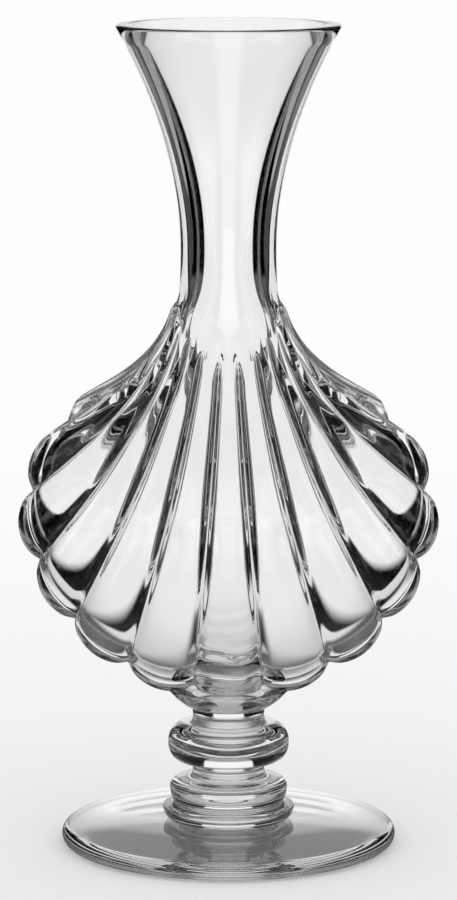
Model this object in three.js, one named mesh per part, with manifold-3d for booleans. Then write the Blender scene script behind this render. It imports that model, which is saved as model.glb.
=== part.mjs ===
// Footed bud vase of clear crystal with a flattened scallop-shell body.
//
// Millimetres, +Z up. The origin is the centre of the foot's underside. X runs across the broad face
// of the shell and Y through its depth, with the front face towards -Y. Six gathers of glass are
// stacked on the Z axis and sealed to each other on flat round faces.

import * as THREE from 'three';
import { mergeVertices } from 'three/addons/utils/BufferGeometryUtils.js';
import Module from 'manifold-3d';

// Foot
const FOOT_RADIUS = 47;
const FOOT_EDGE_THICKNESS = 5;
const FOOT_HEIGHT = 6.5;
const FOOT_COLLAR_RADIUS = 20;

// Base merese, a wafer with a sharp edge
const BASE_MERESE_RADIUS = 18.5;
const BASE_MERESE_HEIGHT = 5.8;
const BASE_MERESE_EDGE_RISE = 3.8;
const BASE_MERESE_SEAL_RADIUS = 14.5;

// Base knop, the cushion under the stem
const BASE_KNOP_RADIUS = 16.5;
const BASE_KNOP_HEIGHT = 7.2;
const BASE_KNOP_SEAL_RADIUS = 15.2;
const BASE_KNOP_SHOULDER = 3.4;

// Stem knop between two waists
const STEM_KNOP_RADIUS = 17;
const STEM_KNOP_THICKNESS = 11.4;
const STEM_WAIST_RADIUS = 9.7;
const STEM_FLARE_RADIUS = 10.4;
const STEM_LOWER_WAIST_HEIGHT = 3.4;
const STEM_UPPER_WAIST_HEIGHT = 4.2;

// Top merese, a shallow bowl under the shell
const TOP_MERESE_RADIUS = 16.7;
const TOP_MERESE_HEIGHT = 4.9;

// Neck, a trumpet that is narrowest where the shell starts
const VASE_HEIGHT = 230;
const MOUTH_RADIUS = 31.1;
const MOUTH_WALL = 4;
const LIP_RADIUS = 0.8;
const NECK_RADIUS = 13.3;
const NECK_BORE_RADIUS = 8.8;
const NECK_WAIST_Z = 169;
const NECK_FLARE_POWER = 1.9;

// Shell body, a fan of ribs that run from the neck to a scalloped edge
const SHELL_CENTRE_Z = 98.8;
const SHELL_EDGE_HALF_WIDTH = 56.6;
const SHELL_EDGE_DROP = 55.5;
const SHELL_FULLNESS = 28;
const SHELL_FULLNESS_REACH = 0.6;
const SHOULDER_LENGTH = 48;
const SHOULDER_DROP = 13.2;
const SHOULDER_START = THREE.MathUtils.degToRad(75);
const SHOULDER_SPAN = THREE.MathUtils.degToRad(52);
const FAN_RATE = THREE.MathUtils.degToRad(121);
const FAN_STRETCH = THREE.MathUtils.degToRad(30);
const FAN_STRETCH_POWER = 10;
const FAN_EASE_POWER = 13.2;
const RIB_COUNT = 24;
const RIB_NECK_HEIGHT = 0.6;
const RIB_EDGE_HEIGHT = 3;
const RIB_TOP = 0.45;
const RIB_SIDE_RISE = 0.15;
const RIB_FADE = 0.09;

// The rib at each side, which stands out as a leaf under the shoulder
const SIDE_RIB_GAIN = 1.1;
const SIDE_RIB_FALL_POWER = 6;
const SIDE_RIB_SPREAD = THREE.MathUtils.degToRad(10);

// Grooves between the ribs, deepest midway, with a width in ribs
const GROOVE_NECK_DEPTH = 0.8;
const GROOVE_EDGE_DEPTH = 0.6;
const GROOVE_SWELL = 0.7;
const GROOVE_WIDTH = 0.09;

// Hollow of the shell, with a hump over the stem
const HOLLOW_CENTRE_RISE = 0.7;
const HOLLOW_EDGE_WALL = 3.1;
const HOLLOW_FACE_WALL = 3;
const HOLLOW_RIB_SHARE = 0.4;
const HOLLOW_HUMP_HEIGHT = 4;
const HOLLOW_HUMP_HALF_ANGLE = THREE.MathUtils.degToRad(12);

// Facets
const LATHE_SEGMENTS = 40;
const ARC_DIVISIONS = 3;
const COLUMNS_PER_RIB = 6;
const COLUMN_CROWDING = 0.06;
const SHELL_ROWS = 15;
const HOLLOW_ROWS = 8;
const NECK_ROWS = 6;
const LIP_ROWS = 2;
const WELD_TOLERANCE = 1e-4;
const PROBE = 1e-3;

// Heights of the seals, from the foot upwards
const baseMereseZ = FOOT_HEIGHT;
const baseKnopZ = baseMereseZ + BASE_MERESE_HEIGHT;
const stemKnopZ = baseKnopZ + BASE_KNOP_HEIGHT;
const stemKnopHeight = STEM_LOWER_WAIST_HEIGHT + STEM_KNOP_THICKNESS + STEM_UPPER_WAIST_HEIGHT;
const topMereseZ = stemKnopZ + stemKnopHeight;
const shellSeatZ = topMereseZ + TOP_MERESE_HEIGHT;

const quarterTurn = Math.PI / 2;
const fullTurn = Math.PI * 2;
const columns = RIB_COUNT * COLUMNS_PER_RIB;
const ribPitch = fullTurn / RIB_COUNT;

const glass = new THREE.MeshStandardMaterial({ color: 0xeef2f2, roughness: 0.04, metalness: 0 });

const wasm = await Module();
wasm.setup();

// A named solid of glass, at a height on the vase's axis.
function piece(name, geometry, z = 0) {
  const mesh = new THREE.Mesh(geometry, glass.clone());
  mesh.name = name;
  mesh.position.z = z;
  return mesh;
}

// A solid turned about the Z axis from a half outline that runs from the axis back to the axis.
function turned(outline) {
  return new THREE.LatheGeometry(outline.getPoints(ARC_DIVISIONS), LATHE_SEGMENTS).rotateX(quarterTurn);
}

// Foot: flat underside, round edge and a gentle crown up to the collar under the base merese.
function footOutline() {
  const edge = FOOT_EDGE_THICKNESS / 2;
  const outline = new THREE.Path();
  outline.moveTo(0, 0);
  outline.lineTo(FOOT_RADIUS - edge, 0);
  outline.absarc(FOOT_RADIUS - edge, edge, edge, -quarterTurn, quarterTurn, false);
  outline.quadraticCurveTo(
    (FOOT_RADIUS + FOOT_COLLAR_RADIUS) / 2, FOOT_HEIGHT,
    FOOT_COLLAR_RADIUS, FOOT_HEIGHT,
  );
  outline.lineTo(0, FOOT_HEIGHT);
  return outline;
}

// Base merese: a bowl-shaped underside, a sharp edge and a hollowed top.
function baseMereseOutline() {
  const outline = new THREE.Path();
  outline.moveTo(0, 0);
  outline.lineTo(BASE_MERESE_SEAL_RADIUS, 0);
  outline.quadraticCurveTo(BASE_MERESE_RADIUS, 0, BASE_MERESE_RADIUS, BASE_MERESE_EDGE_RISE);
  outline.quadraticCurveTo(
    BASE_KNOP_SEAL_RADIUS, BASE_MERESE_EDGE_RISE,
    BASE_KNOP_SEAL_RADIUS, BASE_MERESE_HEIGHT,
  );
  outline.lineTo(0, BASE_MERESE_HEIGHT);
  return outline;
}

// Base knop: a cushion that swells from the merese and rolls in to the lower waist.
function baseKnopOutline() {
  const roll = BASE_KNOP_HEIGHT - BASE_KNOP_SHOULDER;
  const outline = new THREE.Path();
  outline.moveTo(0, 0);
  outline.lineTo(BASE_KNOP_SEAL_RADIUS, 0);
  outline.quadraticCurveTo(BASE_KNOP_RADIUS, 0, BASE_KNOP_RADIUS, BASE_KNOP_SHOULDER);
  outline.bezierCurveTo(
    BASE_KNOP_RADIUS, BASE_KNOP_SHOULDER + roll,
    STEM_FLARE_RADIUS, BASE_KNOP_SHOULDER + roll / 2,
    STEM_FLARE_RADIUS, BASE_KNOP_HEIGHT,
  );
  outline.lineTo(0, BASE_KNOP_HEIGHT);
  return outline;
}

// Stem knop: a flattened ball on the stem, with a drawn-in waist above and below.
function stemKnopOutline() {
  const ballBottom = STEM_LOWER_WAIST_HEIGHT;
  const ballTop = ballBottom + STEM_KNOP_THICKNESS;
  const ballMiddle = (ballBottom + ballTop) / 2;
  const outline = new THREE.Path();
  outline.moveTo(0, 0);
  outline.lineTo(STEM_FLARE_RADIUS, 0);
  outline.quadraticCurveTo(STEM_WAIST_RADIUS, ballBottom / 2, STEM_FLARE_RADIUS, ballBottom);
  outline.quadraticCurveTo(STEM_KNOP_RADIUS, ballBottom, STEM_KNOP_RADIUS, ballMiddle);
  outline.quadraticCurveTo(STEM_KNOP_RADIUS, ballTop, STEM_FLARE_RADIUS, ballTop);
  outline.quadraticCurveTo(
    STEM_WAIST_RADIUS, (ballTop + stemKnopHeight) / 2,
    STEM_FLARE_RADIUS, stemKnopHeight,
  );
  outline.lineTo(0, stemKnopHeight);
  return outline;
}

// Top merese: a shallow bowl that spreads from the stem to a sharp edge at the shell's seat.
function topMereseOutline() {
  const outline = new THREE.Path();
  outline.moveTo(0, 0);
  outline.lineTo(STEM_FLARE_RADIUS, 0);
  outline.quadraticCurveTo(
    (STEM_FLARE_RADIUS + TOP_MERESE_RADIUS) / 2, TOP_MERESE_HEIGHT / 4,
    TOP_MERESE_RADIUS, TOP_MERESE_HEIGHT,
  );
  outline.lineTo(0, TOP_MERESE_HEIGHT);
  return outline;
}

// The two skins of the shell: the grooved outside, and the hollow that follows its ribs more weakly.
const outerSkin = {
  neckRadius: NECK_RADIUS,
  mouthRadius: MOUTH_RADIUS,
  centreZ: SHELL_CENTRE_Z,
  edgeHalfWidth: SHELL_EDGE_HALF_WIDTH,
  edgeDrop: SHELL_EDGE_DROP,
  fullness: SHELL_FULLNESS,
  humpHeight: 0,
  ribShare: 1,
  grooved: true,
};
const hollowSkin = {
  neckRadius: NECK_BORE_RADIUS,
  mouthRadius: MOUTH_RADIUS - MOUTH_WALL,
  centreZ: SHELL_CENTRE_Z + HOLLOW_CENTRE_RISE,
  edgeHalfWidth: SHELL_EDGE_HALF_WIDTH - HOLLOW_EDGE_WALL,
  edgeDrop: SHELL_EDGE_DROP - HOLLOW_EDGE_WALL,
  fullness: SHELL_FULLNESS - HOLLOW_FACE_WALL,
  humpHeight: HOLLOW_HUMP_HEIGHT,
  ribShare: HOLLOW_RIB_SHARE,
  grooved: false,
};

// Turn of a column from the front. The columns crowd towards the grooves.
function columnAzimuth(column) {
  const phase = column / COLUMNS_PER_RIB;
  return (phase + COLUMN_CROWDING * Math.sin(fullTurn * phase)) * ribPitch;
}

// Share of the half turn from the front (0) to the side (1 or -1), the same on the front and the back.
function sideShare(azimuth) {
  return Math.asin(Math.sin(azimuth)) / quarterTurn;
}

// Direction in the plane of the shell, from straight down, that a rib leaves in. It opens wider towards
// the side and eases to a stop there, which rounds the edge between the front and the back.
function fanAngle(azimuth) {
  const share = Math.abs(sideShare(azimuth));
  const held = (FAN_RATE + FAN_STRETCH * FAN_STRETCH_POWER) / FAN_EASE_POWER;
  const opened = FAN_STRETCH * share ** FAN_STRETCH_POWER - held * share ** FAN_EASE_POWER;
  return Math.sign(Math.sin(azimuth)) * (FAN_RATE * share + opened);
}

// Point of a skin before its ribs. run goes from 0 at the neck to 1 at the scalloped edge, where the
// front and the back meet.
function skinPoint(skin, azimuth, run) {
  const t = Math.sin(run * quarterTurn);
  const spread = t ** 3;
  const fan = fanAngle(azimuth);
  const past = Math.max(0, Math.abs(fan) - SHOULDER_START) / SHOULDER_SPAN;
  const drawnIn = SHOULDER_DROP * past ** 2;
  const edgeX = (skin.edgeHalfWidth - drawnIn) * Math.sin(fan);
  const hump = skin.humpHeight * Math.exp(-((fan / HOLLOW_HUMP_HALF_ANGLE) ** 2));
  const edgeZ = skin.centreZ - (skin.edgeDrop - drawnIn) * Math.cos(fan) + hump;
  const neckX = skin.neckRadius * Math.sin(azimuth);
  const shoulderZ = NECK_WAIST_Z - SHOULDER_LENGTH;
  const swell = THREE.MathUtils.smoothstep(spread, 0, SHELL_FULLNESS_REACH);
  const roundOff = Math.cos(run * quarterTurn) * Math.sqrt(1 + t ** 2 + t ** 4);
  const depth = THREE.MathUtils.lerp(skin.neckRadius, skin.fullness, swell) * roundOff;
  return new THREE.Vector3(
    THREE.MathUtils.lerp(neckX, edgeX, spread),
    -depth * Math.cos(azimuth),
    NECK_WAIST_Z - SHOULDER_LENGTH * t + (edgeZ - shoulderZ) * spread,
  );
}

// Outward direction of a skin, from its slopes just inside the edge and the sides.
function skinNormal(skin, azimuth, run) {
  const inset = Math.min(run, 1 - PROBE * 2);
  const around = skinPoint(skin, azimuth + PROBE, inset).sub(skinPoint(skin, azimuth - PROBE, inset));
  const upward = skinPoint(skin, azimuth, inset - PROBE).sub(skinPoint(skin, azimuth, inset + PROBE));
  return around.cross(upward).normalize();
}

// Share by which the rib at the side stands above the others, which falls off towards its tip.
function sideGain(azimuth, run) {
  const fromSide = quarterTurn * (1 - Math.abs(sideShare(azimuth)));
  return SIDE_RIB_GAIN * (1 - run ** SIDE_RIB_FALL_POWER) * Math.exp(-((fromSide / SIDE_RIB_SPREAD) ** 2));
}

// Height of the ribs over a skin: broad cushions, parted on the outside by narrow grooves, which
// start under the neck and grow towards the edge.
function ribHeight(skin, azimuth, run) {
  const t = Math.sin(run * quarterTurn);
  const phase = azimuth / ribPitch;
  const fromGroove = 0.5 - Math.abs(phase - Math.round(phase));
  const top = RIB_TOP - RIB_SIDE_RISE * Math.sin(azimuth) ** 2;
  const reach = Math.max(0, t - top) / (1 - top);
  const crest = THREE.MathUtils.lerp(RIB_NECK_HEIGHT, RIB_EDGE_HEIGHT, reach ** 2);
  const cushion = crest * (1 + sideGain(azimuth, run)) * 4 * fromGroove * (1 - fromGroove);
  const deepest = THREE.MathUtils.lerp(GROOVE_NECK_DEPTH, GROOVE_EDGE_DEPTH, reach)
    + GROOVE_SWELL * 4 * reach * (1 - reach);
  const groove = skin.grooved ? deepest * Math.exp(-((fromGroove / GROOVE_WIDTH) ** 2)) : 0;
  return skin.ribShare * (cushion - groove) * THREE.MathUtils.smoothstep(t, top, top + RIB_FADE);
}

// One closed ring of points round a skin of the shell.
function shellRing(skin, run) {
  return Array.from({ length: columns }, (_, column) => {
    const azimuth = columnAzimuth(column);
    const point = skinPoint(skin, azimuth, run);
    point.addScaledVector(skinNormal(skin, azimuth, run), ribHeight(skin, azimuth, run));
    if (run === 1) {
      point.y = 0;
    }
    return point;
  });
}

// Rings of a skin of the shell, from the neck to the scalloped edge.
function shellRings(skin, rows) {
  return Array.from({ length: rows + 1 }, (_, row) => shellRing(skin, row / rows));
}

// One round ring of points about the Z axis.
function roundRing(radius, z) {
  return Array.from({ length: columns }, (_, column) => {
    const azimuth = columnAzimuth(column);
    return new THREE.Vector3(radius * Math.sin(azimuth), -radius * Math.cos(azimuth), z);
  });
}

// Rings of a neck skin, from above the waist to just under the lip.
function neckRings(skin) {
  const lipZ = VASE_HEIGHT - LIP_RADIUS;
  return Array.from({ length: NECK_ROWS }, (_, row) => {
    const share = (row + 1) / NECK_ROWS;
    const radius = THREE.MathUtils.lerp(skin.neckRadius, skin.mouthRadius, share ** NECK_FLARE_POWER);
    return roundRing(radius, THREE.MathUtils.lerp(NECK_WAIST_Z, lipZ, share));
  });
}

// Rings over one rounded edge of the lip, from its start angle through a quarter turn.
function lipEdgeRings(middleRadius, start) {
  return Array.from({ length: LIP_ROWS + 1 }, (_, row) => {
    const turn = start + quarterTurn * row / LIP_ROWS;
    return roundRing(
      middleRadius + LIP_RADIUS * Math.cos(turn),
      VASE_HEIGHT - LIP_RADIUS + LIP_RADIUS * Math.sin(turn),
    );
  });
}

// Rings over the flat lip of the mouth, between the last rings of the two neck skins.
function lipRings() {
  return [
    ...lipEdgeRings(MOUTH_RADIUS - LIP_RADIUS, 0).slice(1),
    ...lipEdgeRings(MOUTH_RADIUS - MOUTH_WALL + LIP_RADIUS, quarterTurn).slice(0, -1),
  ];
}

// A closed surface through rings of equal count. The first and the last ring are folded flat, so
// their front and back points coincide and weld together.
function ringSurface(rings) {
  const positions = rings.flatMap((ring) => ring.flatMap((point) => point.toArray()));
  const index = [];
  for (let row = 0; row < rings.length - 1; row += 1) {
    for (let column = 0; column < columns; column += 1) {
      const next = (column + 1) % columns;
      const low = row * columns;
      const high = low + columns;
      index.push(low + column, low + next, high + next);
      index.push(low + column, high + next, high + column);
    }
  }
  const surface = new THREE.BufferGeometry();
  surface.setAttribute('position', new THREE.Float32BufferAttribute(positions, 3));
  surface.setIndex(index);
  return mergeVertices(surface, WELD_TOLERANCE);
}

// A solid for cutting, from a closed surface with welded points.
function solidOf(surface) {
  const mesh = new wasm.Mesh({
    numProp: 3,
    vertProperties: new Float32Array(surface.attributes.position.array),
    triVerts: new Uint32Array(surface.index.array),
  });
  return new wasm.Manifold(mesh);
}

// The surface of a cut solid.
function surfaceOf(solid) {
  const mesh = solid.getMesh();
  const surface = new THREE.BufferGeometry();
  surface.setAttribute('position', new THREE.Float32BufferAttribute(mesh.vertProperties, 3));
  surface.setIndex(Array.from(mesh.triVerts));
  return surface;
}

// Welded block that takes away everything under the shell's seat.
function underSeat() {
  const size = SHELL_EDGE_HALF_WIDTH * 2;
  const block = new THREE.BoxGeometry(size, size, size).translate(0, 0, shellSeatZ - size / 2);
  block.deleteAttribute('normal');
  block.deleteAttribute('uv');
  return mergeVertices(block, WELD_TOLERANCE);
}

// Shell body: ribbed outside, trumpet neck, round lip, bore and hollow, cut flat on its seat.
function shellBody() {
  const rings = [
    ...shellRings(outerSkin, SHELL_ROWS).reverse(),
    ...neckRings(outerSkin),
    ...lipRings(),
    ...neckRings(hollowSkin).reverse(),
    ...shellRings(hollowSkin, HOLLOW_ROWS),
  ];
  return surfaceOf(solidOf(ringSurface(rings)).subtract(solidOf(underSeat())));
}

const vase = new THREE.Group();
vase.add(
  piece('foot', turned(footOutline())),
  piece('base_merese', turned(baseMereseOutline()), baseMereseZ),
  piece('base_knop', turned(baseKnopOutline()), baseKnopZ),
  piece('stem_knop', turned(stemKnopOutline()), stemKnopZ),
  piece('top_merese', turned(topMereseOutline()), topMereseZ),
  piece('shell_body', shellBody()),
);

export default vase;
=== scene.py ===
"""Clear crystal bud vase with a scallop-shell body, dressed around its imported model.

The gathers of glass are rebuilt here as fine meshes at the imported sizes, in one shared frame: +Z up, the
origin under the foot and the front of the shell towards -Y. Shape sizes are in millimetres, scene sizes in
metres.
"""

from __future__ import annotations

import logging
import math
from dataclasses import dataclass, field
from enum import Enum
from typing import Any

import bmesh
import bpy
import numpy as np
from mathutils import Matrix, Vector


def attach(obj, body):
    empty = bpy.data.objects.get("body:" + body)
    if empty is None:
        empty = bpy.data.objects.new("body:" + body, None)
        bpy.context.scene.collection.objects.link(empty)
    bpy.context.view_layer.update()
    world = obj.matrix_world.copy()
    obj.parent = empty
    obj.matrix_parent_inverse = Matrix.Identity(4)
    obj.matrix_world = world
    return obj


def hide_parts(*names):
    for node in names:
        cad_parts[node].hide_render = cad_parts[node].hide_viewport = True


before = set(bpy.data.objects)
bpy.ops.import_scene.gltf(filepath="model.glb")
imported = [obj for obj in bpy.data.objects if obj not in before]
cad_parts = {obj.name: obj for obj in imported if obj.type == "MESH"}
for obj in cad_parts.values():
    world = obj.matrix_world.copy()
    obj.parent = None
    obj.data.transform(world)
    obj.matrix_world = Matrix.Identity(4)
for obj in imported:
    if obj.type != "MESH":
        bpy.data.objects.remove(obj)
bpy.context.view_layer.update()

MM = 0.001
QUARTER = math.pi / 2
FULL = math.pi * 2
BODY = "root"

log = logging.getLogger("bud_vase")


class Side(Enum):
    """Which of a mesh's two materials a face takes."""

    GLASS = 0
    SEAL = 1


class Value:
    """A number socket that Python's operators turn into Math nodes."""

    def __init__(self, graph: Graph, socket: bpy.types.NodeSocket) -> None:
        """Wrap a socket of a graph."""
        self.graph = graph
        self.socket = socket

    def math(self, operation: str, *others: Value | float) -> Value:
        """Add a Math node with this value first.

        Args:
            operation: Name of the Math node's operation.
            others: The other inputs, as values or numbers.

        Returns:
            The node's result.
        """
        sockets = {0: self, **dict(enumerate(others, 1))}
        node = self.graph.node("ShaderNodeMath", {"operation": operation}, sockets)
        return Value(self.graph, node.outputs[0])

    def flipped(self, operation: str, other: Value | float) -> Value:
        """Add a Math node with this value second.

        Args:
            operation: Name of the Math node's operation.
            other: The first input.

        Returns:
            The node's result.
        """
        node = self.graph.node("ShaderNodeMath", {"operation": operation}, {0: other, 1: self})
        return Value(self.graph, node.outputs[0])

    def __add__(self, other: Value | float) -> Value:
        """This plus another."""
        return self.math("ADD", other)

    def __radd__(self, other: Value | float) -> Value:
        """Another plus this."""
        return self.flipped("ADD", other)

    def __sub__(self, other: Value | float) -> Value:
        """This less another."""
        return self.math("SUBTRACT", other)

    def __rsub__(self, other: Value | float) -> Value:
        """Another less this."""
        return self.flipped("SUBTRACT", other)

    def __mul__(self, other: Value | float) -> Value:
        """This times another."""
        return self.math("MULTIPLY", other)

    def __rmul__(self, other: Value | float) -> Value:
        """Another times this."""
        return self.flipped("MULTIPLY", other)

    def __or__(self, other: Value | float) -> Value:
        """The larger of two masks."""
        return self.math("MAXIMUM", other)

    def __ror__(self, other: Value | float) -> Value:
        """The larger of two masks."""
        return self.flipped("MAXIMUM", other)

    def __abs__(self) -> Value:
        """This without its sign."""
        return self.math("ABSOLUTE")

    def between(self, low: float, high: float) -> Value:
        """Rise smoothly from 0 at one number to 1 at another.

        Args:
            low: Number where the mask is 0.
            high: Number where the mask is 1. It may be the smaller of the two.

        Returns:
            The mask.
        """
        settings = {"interpolation_type": "SMOOTHSTEP"}
        falls = low > high
        ends = {1: min(low, high), 2: max(low, high), 3: float(falls), 4: float(not falls)}
        node = self.graph.node("ShaderNodeMapRange", settings, {0: self, **ends})
        return Value(self.graph, node.outputs[0])


class Graph:
    """The node tree of a material or of the world."""

    def __init__(self, tree: bpy.types.NodeTree) -> None:
        """Empty a tree and hold it."""
        self.tree = tree
        self.tree.nodes.clear()

    def node(
        self, kind: str, settings: dict[str, Any] | None = None, sockets: dict[Any, Any] | None = None
    ) -> Any:
        """Add one node.

        Args:
            kind: The node's type.
            settings: Properties that are set first.
            sockets: Input name or number to a value, a socket or a number.

        Returns:
            The node.
        """
        made = self.tree.nodes.new(kind)
        for name, setting in (settings or {}).items():
            setattr(made, name, setting)
        for key, source in (sockets or {}).items():
            if isinstance(source, Value):
                source = source.socket
            if isinstance(source, bpy.types.NodeSocket):
                self.tree.links.new(source, made.inputs[key])
            else:
                made.inputs[key].default_value = source
        return made

    def axes(self, vector: bpy.types.NodeSocket) -> tuple[Value, Value, Value]:
        """Split a vector.

        Args:
            vector: The vector's socket.

        Returns:
            Its x, y and z.
        """
        split = self.node("ShaderNodeSeparateXYZ", sockets={0: vector})
        return Value(self, split.outputs[0]), Value(self, split.outputs[1]), Value(self, split.outputs[2])

    def light_path(self, output: str) -> Value:
        """One of the Light Path node's masks."""
        return Value(self, self.node("ShaderNodeLightPath").outputs[output])

    def blend(self, share: Value, first: Any, second: Any) -> bpy.types.NodeSocket:
        """Mix two colours.

        Args:
            share: 0 for the first colour, 1 for the second.
            first: A colour or a colour socket.
            second: A colour or a colour socket.

        Returns:
            The mixed colour.
        """
        mixed = self.node("ShaderNodeMix", {"data_type": "RGBA"}, {0: share, 6: first, 7: second})
        return mixed.outputs[2]


def grey(level: float) -> tuple[float, float, float, float]:
    """A neutral colour."""
    return (level, level, level, 1.0)


@dataclass(frozen=True)
class CrystalFinish:
    """Clear fire-polished lead crystal."""

    name: str
    ior: float = 1.55
    clear: tuple[float, float, float, float] = (1.0, 1.0, 1.0, 1.0)
    dense: tuple[float, float, float, float] = (0.985, 0.992, 0.990, 1.0)
    polish: float = 0.0
    haze: float = 0.012
    ripple_scale: float = 24.0
    ripple_detail: float = 1.0
    ripple_strength: float = 0.012
    ripple_distance: float = 0.01
    cord_scale: float = 60.0
    cord_detail: float = 3.0
    cord_tint: tuple[float, float] = (0.35, 0.7)
    cord_haze: tuple[float, float] = (0.55, 0.85)

    def noise(self, graph: Graph, scale: float, detail: float) -> Value:
        """Smooth noise over a piece.

        Args:
            graph: The material's nodes.
            scale: How fine the noise is.
            detail: How many finer layers it has.

        Returns:
            The noise, about 0 to 1.
        """
        place = graph.node("ShaderNodeTexCoord").outputs["Object"]
        made = graph.node("ShaderNodeTexNoise", sockets={"Vector": place, "Scale": scale, "Detail": detail})
        return Value(graph, made.outputs[0])

    def build(self) -> bpy.types.Material:
        """Make the material.

        Returns:
            The material.
        """
        material = bpy.data.materials.new(self.name)
        material.use_nodes = True
        graph = Graph(material.node_tree)
        ripple = self.noise(graph, self.ripple_scale, self.ripple_detail)
        cord = self.noise(graph, self.cord_scale, self.cord_detail)
        bump = graph.node(
            "ShaderNodeBump",
            sockets={"Strength": self.ripple_strength, "Distance": self.ripple_distance, "Height": ripple},
        )
        shader = graph.node(
            "ShaderNodeBsdfPrincipled",
            sockets={
                "Base Color": graph.blend(cord.between(*self.cord_tint), self.clear, self.dense),
                "Roughness": cord.between(*self.cord_haze) * (self.haze - self.polish) + self.polish,
                "IOR": self.ior,
                "Transmission Weight": 1.0,
                "Normal": bump.outputs[0],
            },
        )
        graph.node("ShaderNodeOutputMaterial", sockets={0: shader.outputs[0]})
        return material


@dataclass(frozen=True)
class SealFinish:
    """The face inside a hot seal, where two gathers have become one glass."""

    name: str

    def build(self) -> bpy.types.Material:
        """Make the material.

        Returns:
            The material.
        """
        material = bpy.data.materials.new(self.name)
        material.use_nodes = True
        graph = Graph(material.node_tree)
        shader = graph.node("ShaderNodeBsdfPrincipled", sockets={"Base Color": grey(1.0), "Alpha": 0.0})
        graph.node("ShaderNodeOutputMaterial", sockets={0: shader.outputs[0]})
        return material


class Outline:
    """Half of a turned gather's section, drawn from the axis outwards and back, in millimetres."""

    STEPS = 14

    def __init__(self, radius: float, z: float) -> None:
        """Start the outline at a point."""
        self.points: list[tuple[float, float]] = [(radius, z)]

    def line_to(self, radius: float, z: float) -> Outline:
        """Go straight to a point."""
        self.points.append((radius, z))
        return self

    def curve_to(self, *controls: tuple[float, float]) -> Outline:
        """Follow a Bezier curve.

        Args:
            controls: The control points after the current point, with the curve's end last.

        Returns:
            This outline.
        """
        hull = np.array([self.points[-1], *controls])
        for step in range(1, self.STEPS + 1):
            share = step / self.STEPS
            level = hull
            while len(level) > 1:
                level = level[:-1] * (1 - share) + level[1:] * share
            self.points.append((float(level[0][0]), float(level[0][1])))
        return self

    def arc_to(self, centre: tuple[float, float], radius: float, start: float, end: float) -> Outline:
        """Follow a circle's arc.

        Args:
            centre: The circle's centre.
            radius: Its radius.
            start: Angle of the arc's start, from +radius towards +z.
            end: Angle of its end.

        Returns:
            This outline.
        """
        for step in range(1, self.STEPS + 1):
            angle = start + (end - start) * step / self.STEPS
            self.points.append((centre[0] + radius * math.cos(angle), centre[1] + radius * math.sin(angle)))
        return self


def finish_mesh(name: str, bm: bmesh.types.BMesh) -> bpy.types.Object:
    """Turn a finished bmesh into an object of the scene.

    Args:
        name: The object's name.
        bm: The mesh, in metres. It is freed.

    Returns:
        The object.
    """
    for face in bm.faces:
        face.smooth = True
    for edge in bm.edges:
        kinds = {face.material_index for face in edge.link_faces}
        if len(kinds) > 1:
            edge.smooth = False
    mesh = bpy.data.meshes.new(name)
    bm.to_mesh(mesh)
    bm.free()
    piece = bpy.data.objects.new(name, mesh)
    bpy.context.scene.collection.objects.link(piece)
    return piece


def smooth(share: Any) -> Any:
    """Ease a share from 0 to 1, held at both ends."""
    held = np.clip(share, 0.0, 1.0)
    return held * held * (3 - 2 * held)


class Gather:
    """One gather of glass, with its name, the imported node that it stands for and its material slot."""

    name: str
    node: str
    slot: str

    def dress(self, piece: bpy.types.Object, finishes: list[bpy.types.Material]) -> None:
        """Give the gather's piece its materials and its place in the model.

        Args:
            piece: The piece.
            finishes: The glass and the seal.
        """
        for finish in finishes:
            piece.data.materials.append(finish)
        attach(piece, BODY)
        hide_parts(self.node)
        log.info("%s stands for %s, %d faces", piece.name, self.node, len(piece.data.polygons))


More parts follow.
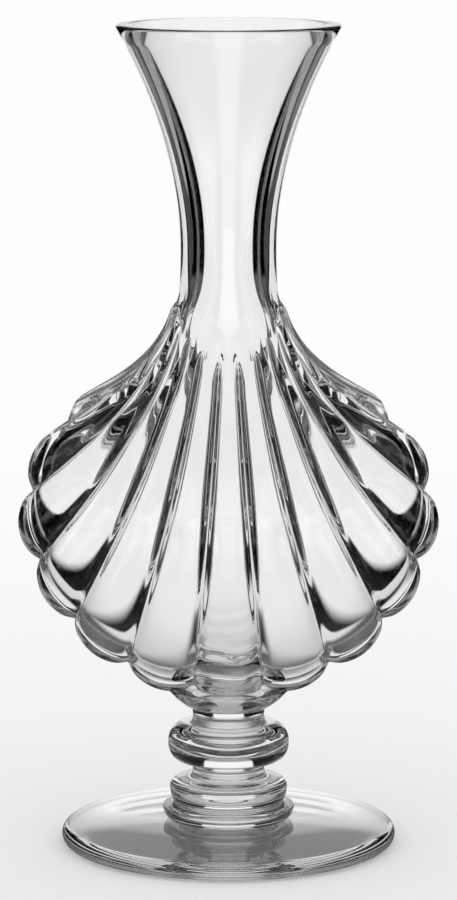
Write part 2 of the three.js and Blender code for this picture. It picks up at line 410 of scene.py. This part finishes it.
@dataclass
class TurnedGather(Gather):
    """One gather of the stem or the foot, turned about the vase's axis."""

    name: str
    node: str
    slot: str
    outline: Outline
    sealed_below: bool
    sealed_above: bool
    seat: list[Vector] = field(default_factory=list)
    segments: int = 144

    def build(self) -> bpy.types.Object:
        """Spin the outline into a closed mesh.

        Returns:
            The gather, in its place.
        """
        bm = bmesh.new()
        rings = [self.ring(bm, radius, z) for radius, z in self.outline.points[1:-1]]
        for low, high in zip(rings, rings[1:]):
            for index in range(self.segments):
                after = (index + 1) % self.segments
                bm.faces.new((low[index], low[after], high[after], high[index]))
        below = bm.faces.new(tuple(reversed(rings[0])))
        below.material_index = (Side.SEAL if self.sealed_below else Side.GLASS).value
        self.crisp_border(below)
        if self.seat:
            self.open_top(bm, rings[-1])
        else:
            above = bm.faces.new(tuple(rings[-1]))
            above.material_index = (Side.SEAL if self.sealed_above else Side.GLASS).value
            self.crisp_border(above)
        bm.normal_update()
        return finish_mesh(self.name, bm)

    def ring(self, bm: bmesh.types.BMesh, radius: float, z: float) -> list[bmesh.types.BMVert]:
        """Add one round ring of points.

        Args:
            bm: The mesh.
            radius: The ring's radius.
            z: Its height.

        Returns:
            The points in order, anticlockwise from above.
        """
        reach = radius * MM
        turns = [index * FULL / self.segments for index in range(self.segments)]
        return [bm.verts.new((reach * math.cos(turn), reach * math.sin(turn), z * MM)) for turn in turns]

    def crisp_border(self, cap: bmesh.types.BMFace) -> None:
        """Keep a flat cap's border crisp."""
        for edge in cap.edges:
            edge.smooth = False

    def open_top(self, bm: bmesh.types.BMesh, border: list[bmesh.types.BMVert]) -> None:
        """Close the top with a flat ring of glass round the seat, and the seat itself as a seal.

        Args:
            bm: The mesh.
            border: The outer ring of the top.
        """
        seat = [bm.verts.new(point) for point in self.seat]
        inner = [bm.edges.new((start, end)) for start, end in zip(seat, seat[1:] + seat[:1])]
        outer = [bm.edges.get((start, end)) for start, end in zip(border, border[1:] + border[:1])]
        filled = bmesh.ops.triangle_fill(bm, edges=inner + outer, use_beauty=True, normal=(0, 0, 1))
        for face in filled["geom"]:
            if isinstance(face, bmesh.types.BMFace):
                self.crisp_border(face)
        patch = bm.faces.new(seat)
        patch.material_index = Side.SEAL.value


@dataclass(frozen=True)
class Skin:
    """One skin of the blown bubble, in millimetres."""

    neck_radius: float
    mouth_radius: float
    centre_z: float
    edge_half_width: float
    edge_drop: float
    half_depth: float
    rib_share: float
    hump: float


@dataclass
class ShellBody(Gather):
    """Trumpet neck and scallop-shell body, blown in one bubble, in millimetres."""

    seat_z: float
    height: float = 230.0
    lip_radius: float = 0.8
    neck_waist_z: float = 169.0
    flare_power: float = 1.9
    depth_reach: float = 0.6
    shoulder_length: float = 48.0
    shoulder_drop: float = 13.2
    shoulder_start: float = math.radians(75)
    shoulder_span: float = math.radians(52)
    fan_rate: float = math.radians(121)
    fan_stretch: float = math.radians(30)
    fan_stretch_power: int = 10
    fan_ease: float = 13.2
    ribs: int = 24
    rib_neck_height: float = 0.6
    rib_edge_height: float = 3.0
    side_rib_gain: float = 1.1
    side_rib_fall: int = 6
    side_rib_spread: float = math.radians(10)
    rib_top: float = 0.45
    rib_side_rise: float = 0.15
    rib_fade: float = 0.09
    groove_neck_depth: float = 0.8
    groove_edge_depth: float = 0.6
    groove_swell: float = 0.7
    groove_width: float = 0.09
    mark_height: float = 0.13
    mark_length: float = 4.0
    mark_sway: float = 0.7
    mark_sway_length: float = 13.0
    mark_bottom: float = 45.0
    mark_top: float = 64.0
    mark_fade: float = 3.0
    mark_side_slope: float = 6.0
    columns_per_rib: int = 18
    column_crowding: float = 0.1
    shell_rows: int = 128
    row_crowding: float = 0.85
    hump_half_angle: float = math.radians(12)
    hollow_rows: int = 40
    neck_rows: int = 16
    lip_rows: int = 4
    outside: Skin = Skin(
        neck_radius=13.3,
        mouth_radius=31.1,
        centre_z=98.8,
        edge_half_width=56.6,
        edge_drop=55.5,
        half_depth=28.0,
        rib_share=1.0,
        hump=0.0,
    )
    hollow: Skin = Skin(
        neck_radius=8.8,
        mouth_radius=27.1,
        centre_z=99.5,
        edge_half_width=53.5,
        edge_drop=52.4,
        half_depth=25.0,
        rib_share=0.4,
        hump=4.0,
    )
    name: str = "crystal_shell_body"
    node: str = "shell_body"
    slot: str = "shell_crystal"

    def azimuths(self) -> np.ndarray:
        """Turns of the columns from the front, crowded towards the grooves.

        Returns:
            One angle for each column.
        """
        count = self.ribs * self.columns_per_rib
        phase = np.arange(count) / self.columns_per_rib
        return (phase + self.column_crowding * np.sin(FULL * phase)) * FULL / self.ribs

    def skin_points(self, skin: Skin, azimuth: np.ndarray, run: float) -> np.ndarray:
        """Points of a skin before its ribs.

        Args:
            skin: The skin.
            azimuth: Turns from the front.
            run: 0 at the neck's waist to 1 at the scalloped edge, where the front and the back meet.

        Returns:
            One point for each turn.
        """
        t = math.sin(run * QUARTER)
        spread = t**3
        share = np.arcsin(np.sin(azimuth)) / QUARTER
        side = np.abs(share)
        held = (self.fan_rate + self.fan_stretch * self.fan_stretch_power) / self.fan_ease
        opened = self.fan_stretch * side**self.fan_stretch_power - held * side**self.fan_ease
        fan = self.fan_rate * share + np.sign(share) * opened
        past = np.maximum(0.0, np.abs(fan) - self.shoulder_start) / self.shoulder_span
        drawn_in = self.shoulder_drop * past**2
        edge_x = (skin.edge_half_width - drawn_in) * np.sin(fan)
        edge_z = skin.centre_z - (skin.edge_drop - drawn_in) * np.cos(fan)
        edge_z = edge_z + skin.hump * np.exp(-((fan / self.hump_half_angle) ** 2))
        neck_x = skin.neck_radius * np.sin(azimuth)
        swell = smooth(spread / self.depth_reach)
        round_off = math.cos(run * QUARTER) * math.sqrt(1 + t**2 + t**4)
        depth = (skin.neck_radius + (skin.half_depth - skin.neck_radius) * swell) * round_off
        start_z = self.neck_waist_z - self.shoulder_length * t
        end_z = edge_z - (self.neck_waist_z - self.shoulder_length)
        x = neck_x + (edge_x - neck_x) * spread
        z = start_z + end_z * spread
        return np.stack([x, -depth * np.cos(azimuth), z], axis=-1)

    def skin_normals(self, skin: Skin, azimuth: np.ndarray, run: float, probe: float = 1e-3) -> np.ndarray:
        """Outward directions of a skin, from its slopes just inside the edge.

        Args:
            skin: The skin.
            azimuth: Turns from the front.
            run: Place from the neck's waist to the edge.
            probe: Step for the slopes.

        Returns:
            One unit direction for each turn.
        """
        inset = min(run, 1 - probe * 2)
        left, right = (self.skin_points(skin, azimuth + step, inset) for step in (-probe, probe))
        above, below = (self.skin_points(skin, azimuth, inset + step) for step in (-probe, probe))
        normal = np.cross(right - left, above - below)
        return normal / np.linalg.norm(normal, axis=-1, keepdims=True)

    def rib_heights(self, azimuth: np.ndarray, run: float, grooved: bool) -> np.ndarray:
        """Heights of the ribs over the skin: broad cushions, parted outside by narrow grooves.

        Args:
            azimuth: Turns from the front.
            run: Place from the neck's waist to the edge.
            grooved: Whether the grooves are cut in as well.

        Returns:
            One height for each turn.
        """
        t = math.sin(run * QUARTER)
        phase = azimuth * self.ribs / FULL
        from_groove = 0.5 - np.abs(phase - np.round(phase))
        top = self.rib_top - self.rib_side_rise * np.sin(azimuth) ** 2
        reach = np.maximum(0.0, t - top) / (1 - top)
        cushion = self.rib_neck_height + (self.rib_edge_height - self.rib_neck_height) * reach**2
        from_side = QUARTER - np.abs(np.arcsin(np.sin(azimuth)))
        gain = self.side_rib_gain * (1 - run**self.side_rib_fall)
        cushion = cushion * (1 + gain * np.exp(-((from_side / self.side_rib_spread) ** 2)))
        height = cushion * 4 * from_groove * (1 - from_groove)
        if grooved:
            depth = self.groove_neck_depth + (self.groove_edge_depth - self.groove_neck_depth) * reach
            depth = depth + self.groove_swell * 4 * reach * (1 - reach)
            height = height - depth * np.exp(-((from_groove / self.groove_width) ** 2))
        return height * smooth((t - top) / self.rib_fade)

    def mark_heights(self, azimuth: np.ndarray, points: np.ndarray) -> np.ndarray:
        """Heights of the wavy tool marks that cross the middle rib over the stem.

        Args:
            azimuth: Turns from the front.
            points: Points of the skin at these turns.

        Returns:
            One height for each turn.
        """
        x, z = points[:, 0], points[:, 2]
        from_crest = np.abs(np.arcsin(np.sin(azimuth))) * self.ribs / FULL
        across = smooth((0.5 - from_crest) * self.mark_side_slope)
        risen = smooth((z - self.mark_bottom) / self.mark_fade)
        along = risen * smooth((self.mark_top - z) / self.mark_fade)
        swayed = z + self.mark_sway * np.sin(FULL * x / self.mark_sway_length)
        return self.mark_height * across * along * np.sin(FULL * swayed / self.mark_length)

    def shell_rings(self, skin: Skin, rows: int) -> list[np.ndarray]:
        """Rings of a skin from the neck's waist to the scalloped edge.

        Args:
            skin: The skin.
            rows: Number of steps.

        Returns:
            The rings of points.
        """
        azimuth = self.azimuths()
        rings = []
        for row in range(rows + 1):
            run = (row / rows) ** self.row_crowding
            points = self.skin_points(skin, azimuth, run)
            heights = self.rib_heights(azimuth, run, skin is self.outside) * skin.rib_share
            if skin is self.outside:
                heights = heights + self.mark_heights(azimuth, points)
            points = points + self.skin_normals(skin, azimuth, run) * heights[:, None]
            if row == rows:
                points[:, 1] = 0.0
            rings.append(points)
        return rings

    def round_ring(self, radius: float, z: float) -> np.ndarray:
        """One round ring of points about the axis.

        Args:
            radius: The ring's radius.
            z: Its height.

        Returns:
            The points, in the columns' order.
        """
        azimuth = self.azimuths()
        x, y = radius * np.sin(azimuth), -radius * np.cos(azimuth)
        return np.stack([x, y, np.full_like(azimuth, z)], axis=-1)

    def neck_rings(self, skin: Skin) -> list[np.ndarray]:
        """Rings of a neck skin, from above the waist to just under the lip.

        Args:
            skin: The skin.

        Returns:
            The rings of points.
        """
        lip_z = self.height - self.lip_radius
        rings = []
        for row in range(1, self.neck_rows + 1):
            share = row / self.neck_rows
            radius = skin.neck_radius + (skin.mouth_radius - skin.neck_radius) * share**self.flare_power
            rings.append(self.round_ring(radius, self.neck_waist_z + (lip_z - self.neck_waist_z) * share))
        return rings

    def lip_rings(self) -> list[np.ndarray]:
        """Rings over the round lip of the mouth.

        Returns:
            The rings of points.
        """
        lip = self.lip_radius
        lip_z = self.height - lip
        rings = []
        halves = ((self.outside.mouth_radius - lip, 0.0), (self.hollow.mouth_radius + lip, QUARTER))
        for middle, start in halves:
            for row in range(self.lip_rows + 1):
                turn = start + QUARTER * row / self.lip_rows
                rings.append(self.round_ring(middle + lip * math.cos(turn), lip_z + lip * math.sin(turn)))
        return rings[1:-1]

    def build(self) -> tuple[bpy.types.Object, list[Vector]]:
        """Join all the rings into one closed bubble and cut it flat on its seat.

        Returns:
            The body, and the outline of its seat, anticlockwise from above.
        """
        rings = [
            *reversed(self.shell_rings(self.outside, self.shell_rows)),
            *self.neck_rings(self.outside),
            *self.lip_rings(),
            *reversed(self.neck_rings(self.hollow)),
            *self.shell_rings(self.hollow, self.hollow_rows),
        ]
        bm = bmesh.new()
        grid = [[bm.verts.new(tuple(point)) for point in ring * MM] for ring in rings]
        count = len(grid[0])
        for low, high in zip(grid, grid[1:]):
            for index in range(count):
                after = (index + 1) % count
                bm.faces.new((low[index], low[after], high[after], high[index]))
        bmesh.ops.remove_doubles(bm, verts=grid[0] + grid[-1], dist=MM * 1e-4)
        seat = self.cut_seat(bm)
        return finish_mesh(self.name, bm), seat

    def cut_seat(self, bm: bmesh.types.BMesh) -> list[Vector]:
        """Cut the bottom of the shell flat and close it with a seal.

        Args:
            bm: The bubble's mesh.

        Returns:
            The outline of the seat, anticlockwise from above.
        """
        geometry = bm.verts[:] + bm.edges[:] + bm.faces[:]
        plane = Vector((0, 0, self.seat_z * MM))
        down = Vector((0, 0, -1))
        cut = bmesh.ops.bisect_plane(bm, geom=geometry, plane_co=plane, plane_no=down, clear_outer=True)
        border = [part for part in cut["geom_cut"] if isinstance(part, bmesh.types.BMEdge)]
        filled = bmesh.ops.edgeloop_fill(bm, edges=border)
        patch = max(filled["faces"], key=lambda face: face.calc_area())
        patch.normal_update()
        if patch.normal.z > 0:
            patch.normal_flip()
        patch.material_index = Side.SEAL.value
        return [vert.co.copy() for vert in reversed(patch.verts)]


@dataclass
class Stem:
    """The gathers under the shell, with heights that build up from the foot, in millimetres."""

    foot_radius: float = 47.0
    foot_edge: float = 5.0
    foot_height: float = 6.5
    foot_dish_radius: float = 44.0
    foot_dish_depth: float = 2.7
    collar_radius: float = 20.0
    base_merese_radius: float = 18.5
    base_merese_height: float = 5.8
    base_merese_rise: float = 3.8
    base_merese_seal: float = 14.5
    base_knop_radius: float = 16.5
    base_knop_height: float = 7.2
    base_knop_seal: float = 15.2
    base_knop_shoulder: float = 3.4
    knop_radius: float = 17.0
    knop_thickness: float = 11.4
    waist_radius: float = 9.7
    flare_radius: float = 10.4
    lower_waist: float = 3.4
    upper_waist: float = 4.2
    top_merese_radius: float = 16.7
    top_merese_height: float = 4.9

    def __post_init__(self) -> None:
        """Work out the height of each seal."""
        self.base_merese_z = self.foot_height
        self.base_knop_z = self.base_merese_z + self.base_merese_height
        self.knop_z = self.base_knop_z + self.base_knop_height
        self.knop_height = self.lower_waist + self.knop_thickness + self.upper_waist
        self.top_merese_z = self.knop_z + self.knop_height
        self.seat_z = self.top_merese_z + self.top_merese_height

    def foot(self) -> TurnedGather:
        """The solid disc that the vase stands on.

        Returns:
            The foot.
        """
        edge = self.foot_edge / 2
        dish = self.foot_dish_depth
        outline = Outline(0, dish).curve_to((self.foot_dish_radius / 2, dish), (self.foot_dish_radius, 0))
        outline.line_to(self.foot_radius - edge, 0)
        outline.arc_to((self.foot_radius - edge, edge), edge, -QUARTER, QUARTER)
        middle = (self.foot_radius + self.collar_radius) / 2
        outline.curve_to((middle, self.foot_height), (self.collar_radius, self.foot_height))
        outline.line_to(self.base_merese_seal, self.foot_height).line_to(0, self.foot_height)
        return TurnedGather("crystal_foot", "foot", "foot_crystal", outline, False, True)

    def base_merese(self) -> TurnedGather:
        """The sharp-edged wafer on the foot.

        Returns:
            The wafer.
        """
        low, high = self.base_merese_z, self.base_knop_z
        rise = low + self.base_merese_rise
        outline = Outline(0, low).line_to(self.base_merese_seal, low)
        outline.curve_to((self.base_merese_radius, low), (self.base_merese_radius, rise))
        outline.curve_to((self.base_knop_seal, rise), (self.base_knop_seal, high))
        outline.line_to(0, high)
        return TurnedGather("crystal_base_merese", "base_merese", "stem_crystal", outline, True, True)

    def base_knop(self) -> TurnedGather:
        """The cushion at the bottom of the stem.

        Returns:
            The cushion.
        """
        low, high = self.base_knop_z, self.knop_z
        shoulder = low + self.base_knop_shoulder
        outline = Outline(0, low).line_to(self.base_knop_seal, low)
        outline.curve_to((self.base_knop_radius, low), (self.base_knop_radius, shoulder))
        neck = self.flare_radius
        outline.curve_to((self.base_knop_radius, high), (neck, (shoulder + high) / 2), (neck, high))
        outline.line_to(0, high)
        return TurnedGather("crystal_base_knop", "base_knop", "stem_crystal", outline, True, True)

    def stem_knop(self) -> TurnedGather:
        """The round knop between its two waists.

        Returns:
            The knop.
        """
        low, high = self.knop_z, self.top_merese_z
        bottom = low + self.lower_waist
        top = bottom + self.knop_thickness
        middle = (bottom + top) / 2
        outline = Outline(0, low).line_to(self.flare_radius, low)
        outline.curve_to((self.waist_radius, (low + bottom) / 2), (self.flare_radius, bottom))
        outline.curve_to((self.knop_radius, bottom), (self.knop_radius, middle))
        outline.curve_to((self.knop_radius, top), (self.flare_radius, top))
        outline.curve_to((self.waist_radius, (top + high) / 2), (self.flare_radius, high))
        outline.line_to(0, high)
        return TurnedGather("crystal_stem_knop", "stem_knop", "stem_crystal", outline, True, True)

    def top_merese(self, seat: list[Vector]) -> TurnedGather:
        """The bowl-shaped wafer under the shell.

        Args:
            seat: Outline of the shell's seat.

        Returns:
            The wafer.
        """
        low, high = self.top_merese_z, self.seat_z
        middle = (self.flare_radius + self.top_merese_radius) / 2
        outline = Outline(0, low).line_to(self.flare_radius, low)
        outline.curve_to((middle, low + self.top_merese_height / 4), (self.top_merese_radius, high))
        outline.line_to(0, high)
        return TurnedGather("crystal_top_merese", "top_merese", "stem_crystal", outline, True, True, seat)


@dataclass
class Studio:
    """Camera, pale table and soft studio surroundings, in metres.

    The camera sees a white sheet, darker near the vase as painted shade, and white surroundings. Reflected and
    refracted rays see a dark room with a lit panel behind the vase, and a table whose colour holds painted
    light:
    bright patches and strips towards the other sides, painted black between them and a painted glow under the
    foot. These draw the lines of the glass. Levels run from 0 for black to 1 for white.
    """

    camera_distance: float = 1.165
    camera_height: float = 0.3015
    camera_tilt: float = math.radians(9.26)
    camera_reach: float = 100.0
    lens: float = 169.4
    floor_size: float = 30.0
    floor_drop: float = 0.0003
    # painted shade of the camera's sheet: darker near the vase, white far from it
    sheet_near: float = -0.1
    sheet_far: float = 0.8
    sheet_painted_shade_level: float = 0.89
    sheet_far_level: float = 0.985
    # white of the painted light in the table's colour, for glass rays
    sheet_roughness: float = 0.5
    painted_light_white: float = 0.98
    foot_radius: float = 0.047
    foot_blur: float = 0.0047
    # painted glow under the foot: painted shadow at the front, painted light at the back
    under_start: float = -0.005
    under_end: float = 0.045
    under_front_shadow_level: float = 0.07
    under_back_glow_level: float = 0.8
    # painted pool of light round the foot, in the table's colour
    pool_start: float = 0.06
    pool_end: float = 0.18
    painted_pool_level: float = 0.18
    half_front: float = 0.0
    half_back: float = 0.04
    half_start: float = 0.1
    half_end: float = 0.21
    half_level: float = 0.12
    wedge_blur: float = 0.02
    panel_slope: float = math.tan(math.radians(18))
    panel_start: float = 0.0564
    near_start: float = 0.09
    near_end: float = 0.3
    near_level: float = 0.75
    side_slope: float = math.tan(math.radians(7))
    beside_start: float = 2.6
    ahead_start: float = 0.15
    ahead_level: float = 0.9
    start_blur: float = 0.2
    reach_blur: float = 0.1
    strip_inner: float = 1.2
    strip_outer: float = 1.6
    back_half_width: float = 0.06
    back_start: float = 0.14
    back_reach: float = 0.42
    back_level: float = 0.9
    far_reach: float = 0.75
    far_level: float = 0.4
    front_half_width: float = 0.11
    front_start: float = 0.27
    front_reach: float = 1.5
    panel_top: float = 0.3
    panel_top_blur: float = 0.04
    haze_level: float = 0.4
    top_start: float = 0.6
    top_full: float = 0.9
    top_level: float = 0.25
    first_bounce: float = 0.5
    light_bounces: int = 32
    glossy_bounces: int = 16
    clear_bounces: int = 48

    def camera(self) -> None:
        """Set up the camera at the photograph's angle."""
        data = bpy.data.cameras.new("camera")
        data.lens = self.lens
        data.clip_end = self.camera_reach
        camera = bpy.data.objects.new("camera", data)
        camera.location = (0.0, -self.camera_distance, self.camera_height)
        camera.rotation_euler = (QUARTER - self.camera_tilt, 0.0, 0.0)
        bpy.context.scene.collection.objects.link(camera)
        bpy.context.scene.camera = camera

    def floor(self) -> None:
        """Lay the pale table that the vase stands on."""
        bm = bmesh.new()
        half = self.floor_size / 2
        corners = [(-half, -half), (half, -half), (half, half), (-half, half)]
        bm.faces.new([bm.verts.new((x, y, -self.floor_drop)) for x, y in corners])
        table = finish_mesh("table", bm)
        table.data.materials.append(self.table_finish())

    def wedge(self, across: Value, along: Value, slope: float) -> Value:
        """Mask of a wedge that opens from the vase along one axis."""
        return (abs(across) - along * slope).between(self.wedge_blur, -self.wedge_blur)

    def beyond(self, radius: Value, start: float) -> Value:
        """Mask of the table from a ring outwards."""
        return radius.between(start * (1.0 - self.start_blur), start * (1.0 + self.start_blur))

    def within(self, radius: Value, reach: float) -> Value:
        """Mask of the table up to a ring."""
        return radius.between(reach * (1.0 + self.reach_blur), reach * (1.0 - self.reach_blur))

    def strip(self, across: Value, half_width: float) -> Value:
        """Mask of a diagonal strip, from the distance across it."""
        return abs(across).between(half_width * self.strip_outer, half_width * self.strip_inner)

    def strips(self, x: Value, y: Value, radius: Value) -> Value:
        """Levels of the painted light strips of sheet towards the four diagonals, bright in the table's
        colour.

        Args:
            x: Place across the table.
            y: Place along the table.
            radius: Distance from the vase's axis.

        Returns:
            The level, 0 outside the strips.
        """
        reach = self.within(radius, self.back_reach) * self.back_level
        reach = reach | self.within(radius, self.far_reach) * self.far_level
        back = self.strip(abs(x) - y, self.back_half_width) * self.beyond(radius, self.back_start) * reach
        front = self.strip(abs(x) + y, self.front_half_width) * self.beyond(radius, self.front_start)
        return back | front * self.within(radius, self.front_reach)

    def painted_light_levels(self, x: Value, y: Value, radius: Value) -> Value:
        """Levels of painted light in the table's colour that the glass sees round the foot, on an evenly lit
        table.

        Args:
            x: Place across the table.
            y: Place along the table.
            radius: Distance from the vase's axis.

        Returns:
            The level, 0 where the table's colour is painted black for a dark room.
        """
        # painted pool of light round the foot
        painted_pool = radius.between(self.pool_end, self.pool_start) * self.painted_pool_level
        # painted light: a brighter half ring round the back of the foot
        half = radius.between(self.foot_radius, self.foot_radius + self.foot_blur)
        half = half * radius.between(self.half_end, self.half_start)
        half = half * y.between(self.half_front, self.half_back) * self.half_level
        # painted light behind the vase, fading a little with distance
        near = radius.between(self.near_start, self.near_end) * (1.0 - self.near_level) + self.near_level
        behind = self.wedge(x, y, self.panel_slope) * radius.between(self.foot_radius, self.panel_start) * near
        # painted light beside and ahead of the vase
        beside = self.wedge(y, abs(x), self.side_slope) * self.beyond(radius, self.beside_start)
        ahead = self.wedge(x, y, -self.panel_slope) * self.beyond(radius, self.ahead_start) * self.ahead_level
        return painted_pool | half | behind | beside | ahead | self.strips(x, y, radius)

    def painted_glow(self, y: Value, radius: Value) -> Value:
        """Level of the painted glow of the table under the foot, which shines by itself since the foot keeps
        other light off it; it is painted shadow at the front and painted light at the back.

        Args:
            y: Place along the table.
            radius: Distance from the vase's axis.

        Returns:
            The level, 0 outside the foot.
        """
        # painted glow under the foot, darker at the front as painted shadow
        rise = self.under_back_glow_level - self.under_front_shadow_level
        level = y.between(self.under_start, self.under_end) * rise + self.under_front_shadow_level
        return radius.between(self.foot_radius + self.foot_blur, self.foot_radius) * level

    def table_finish(self) -> bpy.types.Material:
        """White sheet with painted shade to the camera; to the glass, strips of painted light on it, painted
        black for a dark room and a painted glow under the foot.

        Returns:
            The material.
        """
        material = bpy.data.materials.new("sheet_with_painted_light")
        material.use_nodes = True
        material.cycles.emission_sampling = "NONE"
        graph = Graph(material.node_tree)
        x, y, _ = graph.axes(graph.node("ShaderNodeNewGeometry").outputs["Position"])
        radius = (x * x + y * y).math("SQRT")
        dull = {"Roughness": self.sheet_roughness, "Specular IOR Level": 0.0}
        # for glass rays the base colour holds painted light and painted black, and the emission a painted glow
        room = graph.node(
            "ShaderNodeBsdfPrincipled",
            sockets={
                **dull,
                "Base Color": graph.blend(self.painted_light_levels(x, y, radius), grey(0.0), grey(self.painted_light_white)),
                "Emission Color": graph.blend(self.painted_glow(y, radius), grey(0.0), grey(1.0)),
                "Emission Strength": 1.0,
            },
        )
        # painted shade: the camera's sheet darker near the vase
        far = radius.between(self.sheet_near, self.sheet_far)
        white = graph.blend(far, grey(self.sheet_painted_shade_level), grey(self.sheet_far_level))
        sheet = graph.node("ShaderNodeBsdfPrincipled", sockets={**dull, "Base Color": white})
        shader = graph.node(
            "ShaderNodeMixShader",
            sockets={0: graph.light_path("Is Camera Ray"), 1: room.outputs[0], 2: sheet.outputs[0]},
        )
        graph.node("ShaderNodeOutputMaterial", sockets={0: shader.outputs[0]})
        return material

    def world(self) -> None:
        """Surround the table: white to the camera and to the table, lit panels in a dark room to the glass."""
        world = bpy.data.worlds.new("studio")
        bpy.context.scene.world = world
        world.use_nodes = True
        graph = Graph(world.node_tree)
        x, y, z = graph.axes(graph.node("ShaderNodeTexCoord").outputs["Generated"])
        behind = self.wedge(x, y, self.panel_slope)
        beside = self.wedge(y, abs(x), self.side_slope)
        low = z.between(self.panel_top + self.panel_top_blur, self.panel_top - self.panel_top_blur)
        room = (behind | beside) * low | behind * self.haze_level
        room = room | z.between(self.top_start, self.top_full) * self.top_level
        seen = graph.light_path("Is Glossy Ray") | graph.light_path("Is Transmission Ray")
        seen = seen * graph.light_path("Diffuse Depth").math("LESS_THAN", self.first_bounce)
        level = graph.blend(1.0 - seen + seen * room, grey(0.0), grey(1.0))
        shader = graph.node("ShaderNodeBackground", sockets={"Color": level})
        graph.node("ShaderNodeOutputWorld", sockets={0: shader.outputs[0]})

    def settings(self) -> None:
        """Give glass enough bounces and keep colours as written."""
        scene = bpy.context.scene
        scene.view_settings.view_transform = "Standard"
        scene.cycles.max_bounces = self.light_bounces
        scene.cycles.transmission_bounces = self.light_bounces
        scene.cycles.glossy_bounces = self.glossy_bounces
        scene.cycles.transparent_max_bounces = self.clear_bounces

    def build(self) -> None:
        """Build the whole studio."""
        self.camera()
        self.floor()
        self.world()
        self.settings()


def main() -> None:
    """Build the studio and every gather of the vase."""
    logging.basicConfig(level=logging.INFO, format="%(name)s: %(message)s")
    Studio().build()
    stem = Stem()
    seal = SealFinish("hot_seal").build()
    shell_glass = CrystalFinish("shell_crystal").build()
    stem_glass = CrystalFinish("stem_crystal").build()
    foot_glass = CrystalFinish("foot_crystal").build()
    shell = ShellBody(stem.seat_z)
    body, seat = shell.build()
    shell.dress(body, [shell_glass, seal])
    for gather in (stem.top_merese(seat), stem.stem_knop(), stem.base_knop(), stem.base_merese()):
        gather.dress(gather.build(), [stem_glass, seal])
    foot = stem.foot()
    foot.dress(foot.build(), [foot_glass, seal])


if __name__ == "__main__":
    main()
